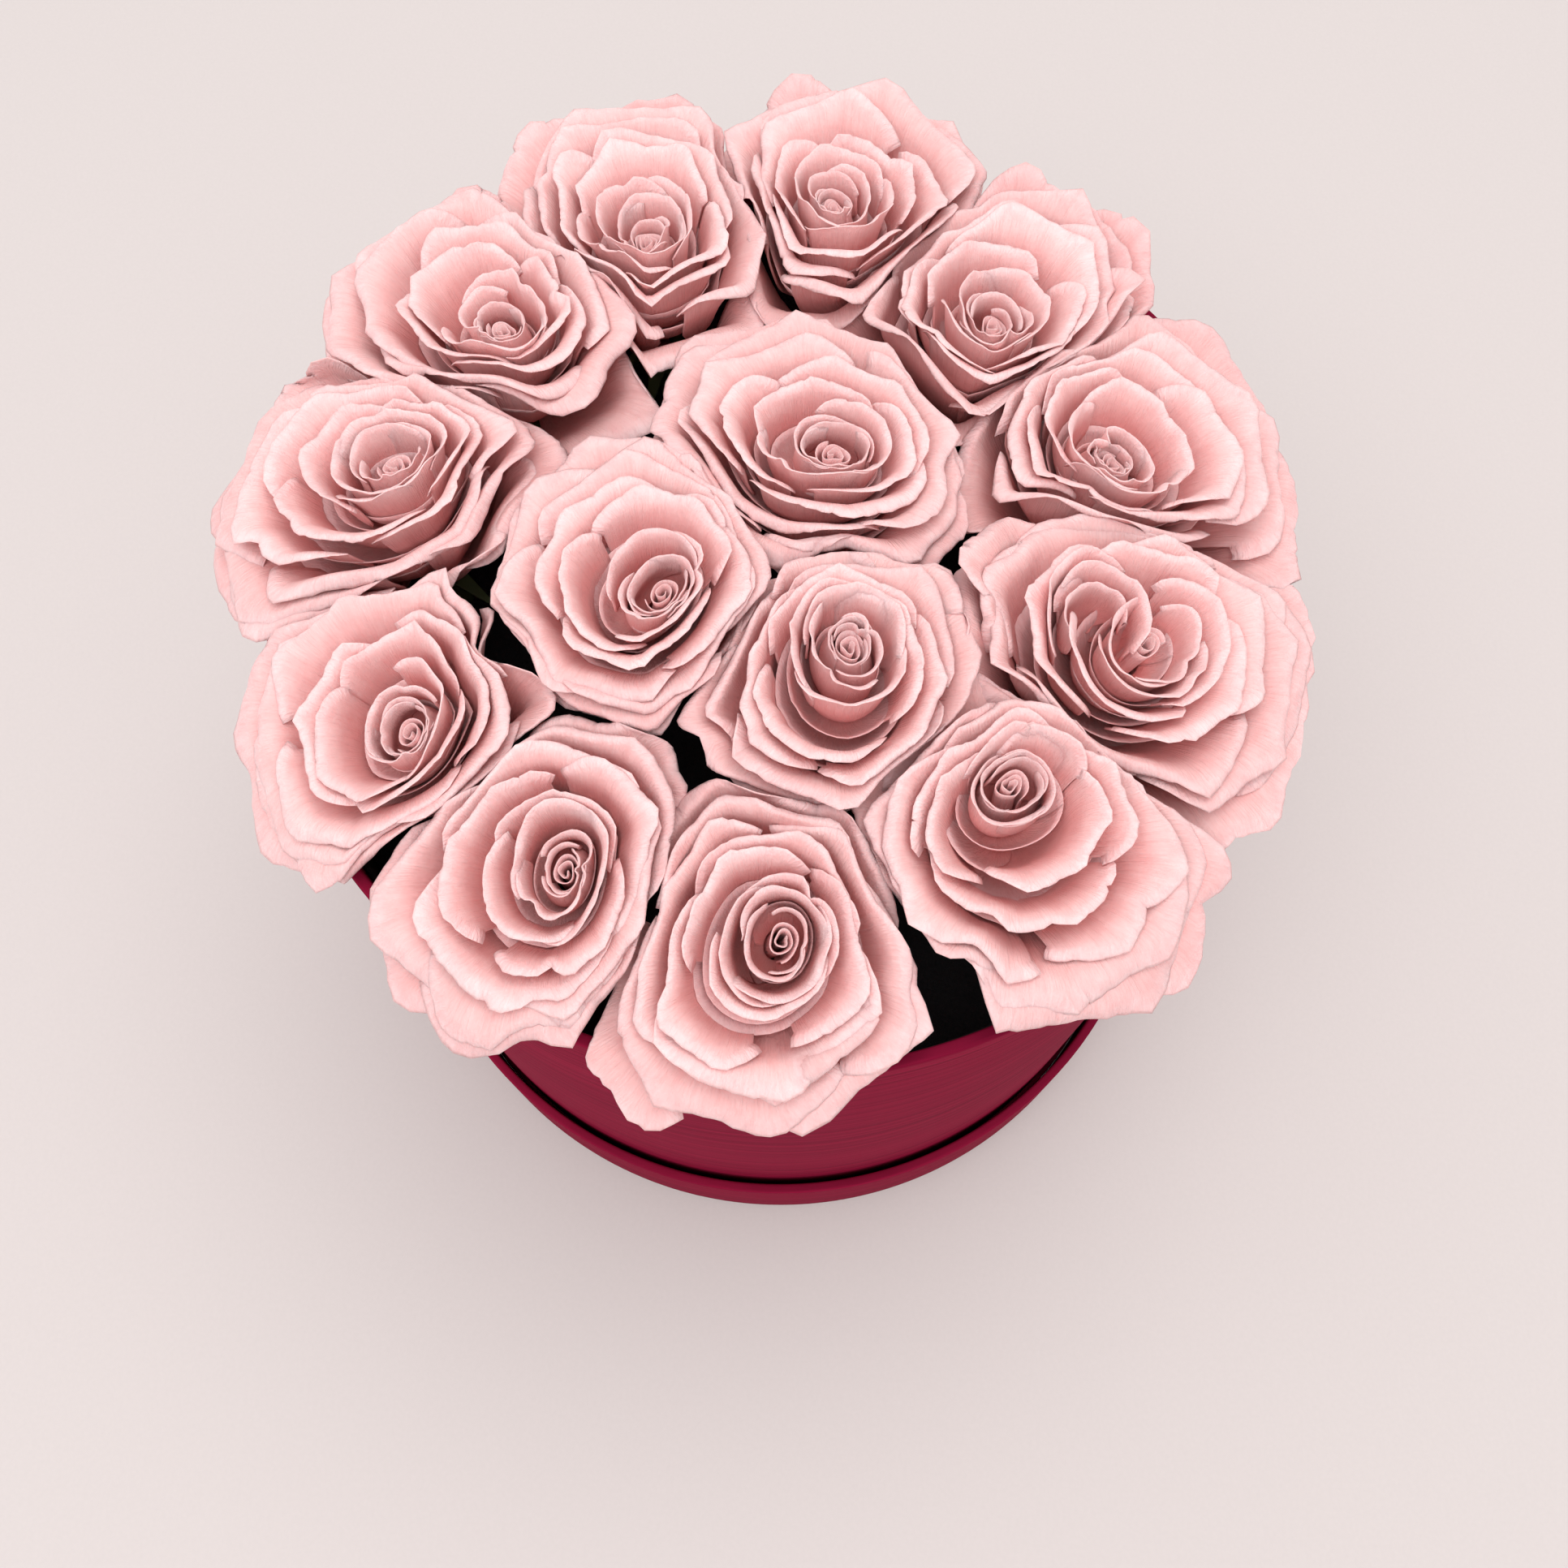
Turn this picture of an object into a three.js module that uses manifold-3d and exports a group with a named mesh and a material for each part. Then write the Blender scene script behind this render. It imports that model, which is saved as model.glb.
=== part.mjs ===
// A round flower hat box: a wrapped card box that stands in its own upturned lid, lined in black,
// with a block of dry foam inside and fourteen rose heads whose short stems stand in the foam.
// Millimetres, +Z up. The origin is the centre of the face on which the lid rests.

import * as THREE from "three";
import { mergeVertices } from "three/addons/utils/BufferGeometryUtils.js";
import Module from "manifold-3d";

// Box and lid
const BOX_DIAMETER = 200;
const BOX_TOP = 174;
const BOARD = 2.4;
const LID_DEPTH = 31;
const LID_CLEARANCE = 1.6;
const LINER_THICKNESS = 1.0;
const LINER_BELOW_RIM = 8;
const FOAM_BELOW_RIM = 29;
const SEAT_GAP = 0.3;
const ROUND_SIDES = 56;

// Roses: the height of a head from its calyx to its heart. The calyx of a leaning head stands nearer
// to the axis of the box than its heart, by the share CALYX_INWARD.
const HEAD_HEIGHT = 34;
const CALYX_BELOW_RIM = 14;
const CALYX_INWARD = 0.91;
const INNER_RISE = 6;
const CORE_RADIUS = 4.2;
const CORE_SIDES = 5;
const CORE_SHOULDER = 0.62 * HEAD_HEIGHT;
const HEART_DIP = 2.5;
const PETAL_THICKNESS = 0.8;

// The nested cups that the petals lie on. Layer 1 is the outermost cup and layer 0 the heart, and
// each size below is named for the part of a cup's section that it sets.
const FREE_SPREAD = 1.14;
const HEART_OPENING = 1.5;
const SPREAD_POWER = 0.95;
const TIP_FALL = 12;
const FALL_FROM_LAYER = 0.35;
const FALL_POWER = 1.7;
const DIP_BELOW_LAYER = 0.3;
const FLARE = 0.22;
const FLARE_FROM_LAYER = 0.15;
const FLARE_FULL_LAYER = 0.6;
const LIP_RISE_HEART = 1;
const LIP_RISE_OPEN = 1.5;
const BELLY_RADIUS = 3.2;
const BELLY_GROWTH = 20;
const BELLY_POWER = 0.9;
const HIP_OUT = 2;
const HIP_GROWTH = 8;
const HIP_DROP = 0.5;
const ROOT_SUNK = 1.6;
const ROOT_HEIGHT_OUTER = 2;
const ROOT_HEIGHT_HEART = 0.6 * HEAD_HEIGHT;
const ROOT_POWER = 0.8;

// What bends the petals clear of the neighbouring heads and of the rim of the box
const HEAD_CLEARANCE = 0.7;
const SQUEEZE_LIFT = 0.35;
const NEIGHBOUR_RANGE = 10;
const FACING_LIMIT = 0.05;
const RIM_CLEARANCE = 4;
const RIM_SLOPE_INNER = 26;
const RIM_SLOPE_OUTER = 6;
const FLOOR_BELOW_CALYX = 20;

// Stems, calyxes and their sepals
const STEM_RADIUS = 2.6;
const STEM_LENGTH = 42;
const STEM_SIDES = 5;
const HOLE_SIDES = 8;
const HOLE_CLEARANCE = 0.4;
const CALYX_TOP_RADIUS = 4.6;
const CALYX_RADIUS = 5.2;
const CALYX_WIDEST = 5;
const CALYX_DEPTH = 9;
const SEPAL_COUNT = 5;
const SEPAL_LENGTH = 13;
const SEPAL_WIDTH = 4.6;
const SEPAL_TIP_WIDTH = 0.15 * SEPAL_WIDTH;
const SEPAL_THICKNESS = 0.8;
const SEPAL_ROOT_RADIUS = 3.2;
const SEPAL_ROOT_DEPTH = 2.2;
const SEPAL_REACH = 0.75;
const SEPAL_DROOP = 0.5;

// Each head: the middle of its outline, its free radius, the turn of its first petal in degrees,
// the sideways offset of its heart, and 1 where it stands higher in the middle of the bunch.
const ROSES = [
  { name: "rose_a", x: 14, y: 78, reach: 31, turn: 95, heart: [-4, -7], inner: 0 },
  { name: "rose_b", x: -28, y: 72, reach: 32, turn: 20, heart: [1, -7], inner: 0 },
  { name: "rose_c", x: -59, y: 51, reach: 33, turn: 140, heart: [3, -7], inner: 0 },
  { name: "rose_d", x: 43, y: 51, reach: 32, turn: 250, heart: [-3, -6], inner: 0 },
  { name: "rose_e", x: -79, y: 12, reach: 33, turn: 170, heart: [4, -1], inner: 0 },
  { name: "rose_f", x: 7, y: 16, reach: 31, turn: 110, heart: [2, -4], inner: 1 },
  { name: "rose_g", x: 67, y: 20, reach: 33, turn: 60, heart: [-3, -7], inner: 0 },
  { name: "rose_h", x: -27, y: -14, reach: 31, turn: 200, heart: [5, -2], inner: 1 },
  { name: "rose_i", x: 11, y: -34, reach: 29, turn: 300, heart: [1, 2], inner: 1 },
  { name: "rose_j", x: 65, y: -25, reach: 35, turn: 10, heart: [-2, 2], inner: 0 },
  { name: "rose_k", x: -70, y: -38, reach: 32, turn: 230, heart: [4, -3], inner: 0 },
  { name: "rose_l", x: -42, y: -67, reach: 32, turn: 215, heart: [5, -2], inner: 0 },
  { name: "rose_m", x: -3, y: -81, reach: 31, turn: 265, heart: [1, -1], inner: 0 },
  { name: "rose_n", x: 44, y: -61, reach: 34, turn: 320, heart: [-3, 4], inner: 0 },
];

// The petals of a head, from the outermost inward: how far out each stands, from 1 at the outside
// to 0 at the heart, the width of its facets in degrees, and its facets across and along. All petals
// start on whole steps round the head, so that the facets of nested petals lie side by side.
const PETALS = [
  { layer: 1.0, step: 40, across: 3, along: 3 },
  { layer: 0.93, step: 40, across: 3, along: 3 },
  { layer: 0.85, step: 40, across: 3, along: 3 },
  { layer: 0.76, step: 40, across: 3, along: 3 },
  { layer: 0.66, step: 40, across: 3, along: 3 },
  { layer: 0.55, step: 40, across: 4, along: 2 },
  { layer: 0.43, step: 40, across: 4, along: 2 },
  { layer: 0.31, step: 40, across: 5, along: 2 },
  { layer: 0.18, step: 40, across: 5, along: 2 },
];
const CLAW_WIDTH = 0.3;
const GOLDEN_ANGLE = 137.5;
const HEART_SHIFT_POWER = 1.3;
const ROW_CROWDING = 1.25;
const APEX_SHIFT = 0.25;
const MARGIN_SLOPE = 0.08;
const MARGIN_ROUNDING = 0.1;

const wasm = await Module();
wasm.setup();

const boxRadius = BOX_DIAMETER / 2;
const boxInner = boxRadius - BOARD;
const lidInner = boxRadius + LID_CLEARANCE;
const lidOuter = lidInner + BOARD;
const floorBottom = BOARD + SEAT_GAP;
const floorTop = floorBottom + BOARD;
const linerOuter = boxInner - SEAT_GAP;
const linerInner = linerOuter - LINER_THICKNESS;
const foamRadius = linerInner - SEAT_GAP;
const foamTop = BOX_TOP - FOAM_BELOW_RIM;
const linerTop = BOX_TOP - LINER_BELOW_RIM;
const calyxTop = BOX_TOP - CALYX_BELOW_RIM;

const radians = THREE.MathUtils.degToRad;
const smoothstep = THREE.MathUtils.smoothstep;
const lerp = THREE.MathUtils.lerp;

// A repeatable draw between -1 and 1 for a numbered petal of a numbered head
function draw(head, petal, channel) {
  const wave = Math.sin(head * 12.9898 + petal * 78.233 + channel * 37.719) * 43758.5453;
  return 2 * (wave - Math.floor(wave)) - 1;
}

// Closed surface to solid
function solidOf(geometry) {
  const bare = geometry.clone();
  bare.deleteAttribute("normal");
  bare.deleteAttribute("uv");
  const merged = mergeVertices(bare, 1e-4);
  return new wasm.Manifold(
    new wasm.Mesh({
      numProp: 3,
      vertProperties: merged.attributes.position.array,
      triVerts: new Uint32Array(merged.index.array),
    }),
  );
}

// Solid to a surface with normals
function geometryOf(solid) {
  const mesh = solid.getMesh();
  const geometry = new THREE.BufferGeometry();
  geometry.setAttribute("position", new THREE.BufferAttribute(mesh.vertProperties, 3));
  geometry.setIndex(new THREE.BufferAttribute(mesh.triVerts, 1));
  geometry.computeVertexNormals();
  return geometry;
}

// The largest body of a solid, without the hollows that joining has sealed and without loose scraps
function filled(solid) {
  return solid.decompose().reduce((kept, body) => (body.volume() > kept.volume() ? body : kept));
}

// A ring or disc turned about Z from a closed profile of [radius, height] corners
function turned(corners, sides = ROUND_SIDES) {
  const profile = corners.map(([r, z]) => new THREE.Vector2(r, z));
  return new THREE.LatheGeometry(profile, sides).rotateX(Math.PI / 2);
}

// A plain ring about Z
function ring(inner, outer, bottom, top) {
  return turned([
    [inner, bottom],
    [outer, bottom],
    [outer, top],
    [inner, top],
    [inner, bottom],
  ]);
}

// A plain disc about Z
function disc(radius, bottom, top) {
  return turned([
    [0, bottom],
    [radius, bottom],
    [radius, top],
    [0, top],
  ]);
}

// A closed blade of even thickness around rows of points, which may differ in number from row to
// row. Both faces are split into the same triangles.
function blade(rows, thickness) {
  const starts = [];
  const points = [];
  for (const row of rows) {
    starts.push(points.length);
    points.push(...row);
  }
  const faces = [];
  for (let r = 0; r < rows.length - 1; r++) {
    const lower = rows[r].length - 1;
    const upper = rows[r + 1].length - 1;
    let i = 0;
    let k = 0;
    while (i < lower || k < upper) {
      const a = starts[r] + i;
      const b = starts[r + 1] + k;
      if (i === lower || (k < upper && (k + 1) * lower <= (i + 1) * upper)) {
        faces.push([a, b + 1, b]);
        k++;
      } else {
        faces.push([a, a + 1, b]);
        i++;
      }
    }
  }
  const normals = points.map(() => new THREE.Vector3());
  for (const [a, b, c] of faces) {
    const edge = points[b].clone().sub(points[a]);
    const normal = edge.cross(points[c].clone().sub(points[a]));
    for (const corner of [a, b, c]) normals[corner].add(normal);
  }
  const count = points.length;
  const vertices = new Float32Array(count * 6);
  points.forEach((point, n) => {
    const offset = normals[n].setLength(thickness / 2);
    point.clone().add(offset).toArray(vertices, 3 * n);
    point.clone().sub(offset).toArray(vertices, 3 * (count + n));
  });
  const triangles = faces.flatMap(([a, b, c]) => [a, b, c, count + a, count + c, count + b]);
  const last = rows.length - 1;
  const outline = [
    ...rows[0].map((_, n) => n),
    ...rows.slice(1, last).map((row, n) => starts[n + 1] + row.length - 1),
    ...rows[last].map((_, n) => starts[last] + rows[last].length - 1 - n),
    ...rows.slice(1, last).map((_, n) => starts[last - 1 - n]),
  ];
  outline.forEach((a, n) => {
    const b = outline[(n + 1) % outline.length];
    triangles.push(b, a, count + a, b, count + a, count + b);
  });
  return new wasm.Manifold(
    new wasm.Mesh({ numProp: 3, vertProperties: vertices, triVerts: new Uint32Array(triangles) }),
  );
}

// The placing of a head: its calyx at the origin and its leaning axis along Z
function headFrame(rose) {
  const rise = calyxTop + rose.inner * INNER_RISE;
  const base = new THREE.Vector3(rose.x * CALYX_INWARD, rose.y * CALYX_INWARD, rise);
  const tip = new THREE.Vector3(rose.x, rose.y, base.z + HEAD_HEIGHT);
  const axis = tip.clone().sub(base).normalize();
  const turn = new THREE.Quaternion().setFromUnitVectors(new THREE.Vector3(0, 0, 1), axis);
  return new THREE.Matrix4().compose(base, turn, new THREE.Vector3(1, 1, 1));
}

// Radius and height of a petal of the given layer, at t from its root to its tip. The five control
// points of its section run from the root, sunk into the core, by the hip and the belly to the
// flared lip and the tip. The cups nest: each point moves steadily outward with the layer.
function cupProfile(layer, reach, t) {
  const open = smoothstep(layer, FLARE_FROM_LAYER, FLARE_FULL_LAYER);
  const fall = Math.max(0, (layer - FALL_FROM_LAYER) / (1 - FALL_FROM_LAYER)) ** FALL_POWER;
  const dip = Math.max(0, 1 - layer / DIP_BELOW_LAYER) ** 2;
  const top = HEAD_HEIGHT - TIP_FALL * fall - HEART_DIP * dip;
  const tip = HEART_OPENING + (FREE_SPREAD * reach - HEART_OPENING) * layer ** SPREAD_POWER;
  const root = lerp(ROOT_HEIGHT_HEART, ROOT_HEIGHT_OUTER, layer ** ROOT_POWER);
  const controls = [
    [CORE_RADIUS - ROOT_SUNK, root],
    [CORE_RADIUS + HIP_OUT + HIP_GROWTH * layer, root - HIP_DROP],
    [BELLY_RADIUS + BELLY_GROWTH * layer ** BELLY_POWER, (root + top) / 2],
    [tip * (1 - FLARE * open), top + LIP_RISE_HEART + LIP_RISE_OPEN * open],
    [tip, top],
  ];
  const s = 1 - t;
  const weights = [s ** 4, 4 * t * s ** 3, 6 * t * t * s ** 2, 4 * t ** 3 * s, t ** 4];
  const along = (k) => controls.reduce((sum, control, n) => sum + control[k] * weights[n], 0);
  return [along(0), along(1)];
}

// How far a head may spread in a direction before it meets a neighbour, along flat walls between them
function roomFor(rose, angle) {
  let room = Infinity;
  for (const other of ROSES) {
    const apart = Math.hypot(other.x - rose.x, other.y - rose.y);
    if (other === rose || apart > rose.reach + other.reach + NEIGHBOUR_RANGE) continue;
    const across = (other.x - rose.x) * Math.cos(angle);
    const towards = (across + (other.y - rose.y) * Math.sin(angle)) / apart;
    const share = (apart ** 2 + rose.reach ** 2 - other.reach ** 2) / (2 * apart);
    if (towards > FACING_LIMIT) room = Math.min(room, (share - HEAD_CLEARANCE) / towards);
  }
  return room;
}

// Bends a point clear of the neighbouring heads, and over the rim of the box. The lowest height that
// a petal may have rises from below the calyxes, inside the box, to just above the rim.
function bendClear(point, rose) {
  const dx = point.x - rose.x;
  const dy = point.y - rose.y;
  const reached = Math.hypot(dx, dy);
  const room = roomFor(rose, Math.atan2(dy, dx));
  const squeeze = Math.max(0, 1 - room / rose.reach);
  const kept = Math.min(1 - squeeze * Math.sqrt(reached / rose.reach), room / reached);
  point.x = rose.x + dx * kept;
  point.y = rose.y + dy * kept;
  point.z += SQUEEZE_LIFT * reached * (1 - kept);
  const fromAxis = Math.hypot(point.x, point.y);
  const rimward = smoothstep(fromAxis, boxInner - RIM_SLOPE_INNER, boxInner - RIM_SLOPE_OUTER);
  const floor = lerp(calyxTop - FLOOR_BELOW_CALYX, BOX_TOP + RIM_CLEARANCE, rimward);
  const above = point.z - floor;
  point.z = floor + (above > 0 ? Math.hypot(above, 1) : 1 / (1 - above));
  return point;
}

// The place in space of a point of a head, given round, out from and up along its own axis
function placed(rose, frame, layer, angle, radius, height) {
  const shift = (1 - layer) ** HEART_SHIFT_POWER * smoothstep(height, 0, HEAD_HEIGHT);
  const point = new THREE.Vector3(
    radius * Math.cos(angle) + shift * rose.heart[0],
    radius * Math.sin(angle) + shift * rose.heart[1],
    height,
  );
  return bendClear(point.applyMatrix4(frame), rose);
}

// Rows of a petal from its narrow claw to its pointed margin
function petalRows(rose, head, petal, frame) {
  const { layer, step, across, along } = PETALS[petal];
  const first = Math.round((rose.turn + GOLDEN_ANGLE * petal) / step);
  const apex = APEX_SHIFT * draw(head, petal, 2);
  const rows = [];
  for (let j = 0; j <= along; j++) {
    const v = 1 - (1 - j / along) ** ROW_CROWDING;
    const columns = j === 0 ? 1 : across;
    const width = j === 0 ? CLAW_WIDTH : 1;
    const row = [];
    for (let i = 0; i <= columns; i++) {
      const u = (2 * i) / columns - 1;
      const outline = 1 - MARGIN_SLOPE * Math.abs(u - apex) - MARGIN_ROUNDING * Math.abs(u) ** 3;
      const angle = radians(step * (first + (across * (1 + u * width)) / 2));
      const [radius, height] = cupProfile(layer, rose.reach, v * outline);
      row.push(placed(rose, frame, layer, angle, radius, height));
    }
    rows.push(row);
  }
  return rows;
}

// The solid middle of a head, a closed bud that the petals stand out of
function coreSolid(rose, frame) {
  const core = turned(
    [
      [0, 0],
      [CORE_RADIUS, 0],
      [CORE_RADIUS, CORE_SHOULDER],
      [0, HEAD_HEIGHT - HEART_DIP],
    ],
    CORE_SIDES,
  );
  const position = core.attributes.position;
  for (let i = 0; i < position.count; i++) {
    const shift = smoothstep(position.getZ(i), 0, HEAD_HEIGHT);
    position.setX(i, position.getX(i) + shift * rose.heart[0]);
    position.setY(i, position.getY(i) + shift * rose.heart[1]);
  }
  return solidOf(core.applyMatrix4(frame));
}

// A head: its core with every petal joined to it
function bloomGeometry(rose, head, frame) {
  let bloom = coreSolid(rose, frame);
  for (let petal = 0; petal < PETALS.length; petal++) {
    bloom = bloom.add(blade(petalRows(rose, head, petal, frame), PETAL_THICKNESS));
  }
  return geometryOf(filled(bloom));
}

// The calyx under a head with its reflexed sepals, in one piece with the stem
function stemGeometry(frame) {
  const top = -SEAT_GAP;
  const stem = turned(
    [
      [0, top],
      [CALYX_TOP_RADIUS, top],
      [CALYX_RADIUS, top - CALYX_WIDEST],
      [STEM_RADIUS, top - CALYX_DEPTH],
      [STEM_RADIUS, -STEM_LENGTH],
      [0, -STEM_LENGTH],
    ].reverse(),
    STEM_SIDES,
  );
  let solid = solidOf(stem);
  for (let k = 0; k < SEPAL_COUNT; k++) {
    const angle = radians((360 * (k + 0.5)) / SEPAL_COUNT);
    const rows = [0, 1].map((t) =>
      [-1, 1].map((side) => {
        const radius = SEPAL_ROOT_RADIUS + SEPAL_REACH * SEPAL_LENGTH * t;
        const half = lerp(SEPAL_WIDTH, SEPAL_TIP_WIDTH, t) / 2;
        const height = top - SEPAL_ROOT_DEPTH - SEPAL_DROOP * SEPAL_LENGTH * t;
        return new THREE.Vector3(
          radius * Math.cos(angle) - side * half * Math.sin(angle),
          radius * Math.sin(angle) + side * half * Math.cos(angle),
          height,
        );
      }),
    );
    solid = solid.add(blade(rows, SEPAL_THICKNESS));
  }
  return geometryOf(solid).applyMatrix4(frame);
}

// The foam block with one plain hole for each stem
function foamGeometry(frames) {
  let foam = solidOf(disc(foamRadius, floorTop + SEAT_GAP, foamTop));
  const radius = (STEM_RADIUS + HOLE_CLEARANCE) / Math.cos(Math.PI / HOLE_SIDES);
  for (const frame of frames) {
    const hole = turned(
      [
        [0, -STEM_LENGTH - SEAT_GAP],
        [radius, -STEM_LENGTH - SEAT_GAP],
        [radius, 0],
        [0, 0],
      ],
      HOLE_SIDES,
    );
    foam = foam.subtract(solidOf(hole.applyMatrix4(frame)));
  }
  return geometryOf(foam);
}

function addPiece(group, name, geometry, color, roughness) {
  const material = new THREE.MeshStandardMaterial({ color, roughness, metalness: 0 });
  const mesh = new THREE.Mesh(geometry, material);
  mesh.name = name;
  group.add(mesh);
}

const CRIMSON = 0x86203a;
const BLACK_CARD = 0x0c0b0c;
const BLACK_FOAM = 0x100f10;
const DUSTY_PINK = 0xeacccb;
const CALYX_GREEN = 0x5c6b3f;

const hatBox = new THREE.Group();
addPiece(hatBox, "lid_panel", disc(lidInner - SEAT_GAP, 0, BOARD), CRIMSON, 0.5);
addPiece(hatBox, "lid_rim", ring(lidInner, lidOuter, 0, LID_DEPTH), CRIMSON, 0.5);
addPiece(hatBox, "box_wall", ring(boxInner, boxRadius, floorBottom, BOX_TOP), CRIMSON, 0.5);
addPiece(hatBox, "box_base", disc(boxInner - SEAT_GAP, floorBottom, floorTop), CRIMSON, 0.6);
addPiece(hatBox, "box_liner", ring(linerInner, linerOuter, floorTop + SEAT_GAP, linerTop), BLACK_CARD, 0.9);
const frames = ROSES.map(headFrame);
addPiece(hatBox, "foam_block", foamGeometry(frames), BLACK_FOAM, 1);
ROSES.forEach((rose, head) => {
  addPiece(hatBox, rose.name + "_bloom", bloomGeometry(rose, head, frames[head]), DUSTY_PINK, 0.7);
  addPiece(hatBox, rose.name + "_stem", stemGeometry(frames[head]), CALYX_GREEN, 0.8);
});

export default hatBox;
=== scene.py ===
import math

import bmesh
import bpy
import numpy as np
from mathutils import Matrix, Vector


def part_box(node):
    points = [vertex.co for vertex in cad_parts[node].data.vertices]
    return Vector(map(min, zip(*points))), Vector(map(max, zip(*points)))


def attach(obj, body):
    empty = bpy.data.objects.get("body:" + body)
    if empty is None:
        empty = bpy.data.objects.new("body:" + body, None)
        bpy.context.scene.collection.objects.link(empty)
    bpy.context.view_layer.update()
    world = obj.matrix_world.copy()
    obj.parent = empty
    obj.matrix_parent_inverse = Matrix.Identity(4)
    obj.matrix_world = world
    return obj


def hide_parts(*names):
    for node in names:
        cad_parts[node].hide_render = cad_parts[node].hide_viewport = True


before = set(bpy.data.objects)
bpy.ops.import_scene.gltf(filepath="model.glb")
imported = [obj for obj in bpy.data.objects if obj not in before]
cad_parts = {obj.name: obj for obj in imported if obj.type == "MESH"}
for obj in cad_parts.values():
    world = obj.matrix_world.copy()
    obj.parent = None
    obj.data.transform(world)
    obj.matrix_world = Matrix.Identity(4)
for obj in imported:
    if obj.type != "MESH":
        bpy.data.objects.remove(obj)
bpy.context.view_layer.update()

MM = 0.001
LEAST_LENGTH = 1e-9

# Camera: the photograph's viewing angle, worked out from the box's rim and its lid
IMAGE_SIDE = 1932
FOCAL_PIXELS = 1870
SENSOR_MM = 36
CAMERA_PLACE = Vector((1, -146, 437)) * MM
CAMERA_DOWN = math.radians(69)

# Roses: the same heads, in millimetres, as the solids of the frame. The calyx of a leaning head
# stands nearer to the axis of the box than its heart, by the share CALYX_INWARD.
HEAD_HEIGHT = 34
BOX_TOP = 174
BOX_INNER = 97.6
CALYX_TOP = BOX_TOP - 14
CALYX_INWARD = 0.91
INNER_RISE = 6
CORE_RADIUS = 4.2
GOLDEN_ANGLE = 137.5

# The nested cups that the petals lie on. Layer 1 is the outermost cup and layer 0 the heart, and
# each size below is named for the part of a cup's section that it sets.
FREE_SPREAD = 1.02
HEART_OPENING = 1.5
SPREAD_POWER = 0.95
TIP_FALL = 7.5
FALL_FROM_LAYER = 0.3
FALL_POWER = 1.5
GUARD_FALL = 28
HEART_DIP = 2.5
DIP_BELOW_LAYER = 0.3
OPENED_FROM_LAYER = 0.15
FLARE = 0.31
FLARE_FULL_LAYER = 0.8
FLARE_POWER = 0.6
ROOT_SUNK = 1.6
ROOT_HEIGHT_HEART = 0.72 * HEAD_HEIGHT
ROOT_HEIGHT_OUTER = 3
ROOT_POWER = 1.05
HIP_OUT = 2
HIP_GROWTH = 8
HIP_DROP = 0.5
BELLY_RADIUS = 3.2
BELLY_GROWTH = 18.5
BELLY_POWER = 0.9
BELLY_LEVEL = 0.5
BELLY_LEVEL_GROWTH = 0.12
LIP_DROP_HEART = 4
LIP_RISE = 6

# How petals bend clear of neighbouring heads. Neighbours overlap by the negative clearance, one head
# laps over the other above BORDER_HEIGHT, and ROUNDING rounds the corner where two borders meet.
HEAD_CLEARANCE = -1.1
NEIGHBOUR_RANGE = 10
FACING_LIMIT = 0.05
ROUNDING = 18
LEAST_CROWDING = 1e-40
LEAST_REACHED = 1e-6
BORDER_HEIGHT = 187
BORDER_RISE = 3
LAP_WIDTH = 2.6
LAP_DEPTH = 3
LAP_WAVE = 1.2
LAP_WAVE_PITCH = 0.16
SQUEEZE_LIFT = 0.35
SQUEEZE_POWER = 1.3
SQUEEZE_MARGIN = 4

# How petals bend round the dark gaps between heads and over the rim of the box. Petals droop beyond
# the rim. On the far side of the bunch, from FAR_FROM to FAR_FULL in y, the outward petals stand up.
GAP_RANGE = 1.5
GAP_SLOPE = 0.45
GAP_LEAST_ROOM = 4
RIM_CLEARANCE = 3
RIM_SLOPE_INNER = 26
RIM_SLOPE_OUTER = 6
FLOOR_BELOW_CALYX = 20
DROOP = 0.13
DROOP_POWER = 1.5
FAR_STAND = 17
FAR_FROM = -10
FAR_FULL = 75

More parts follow.
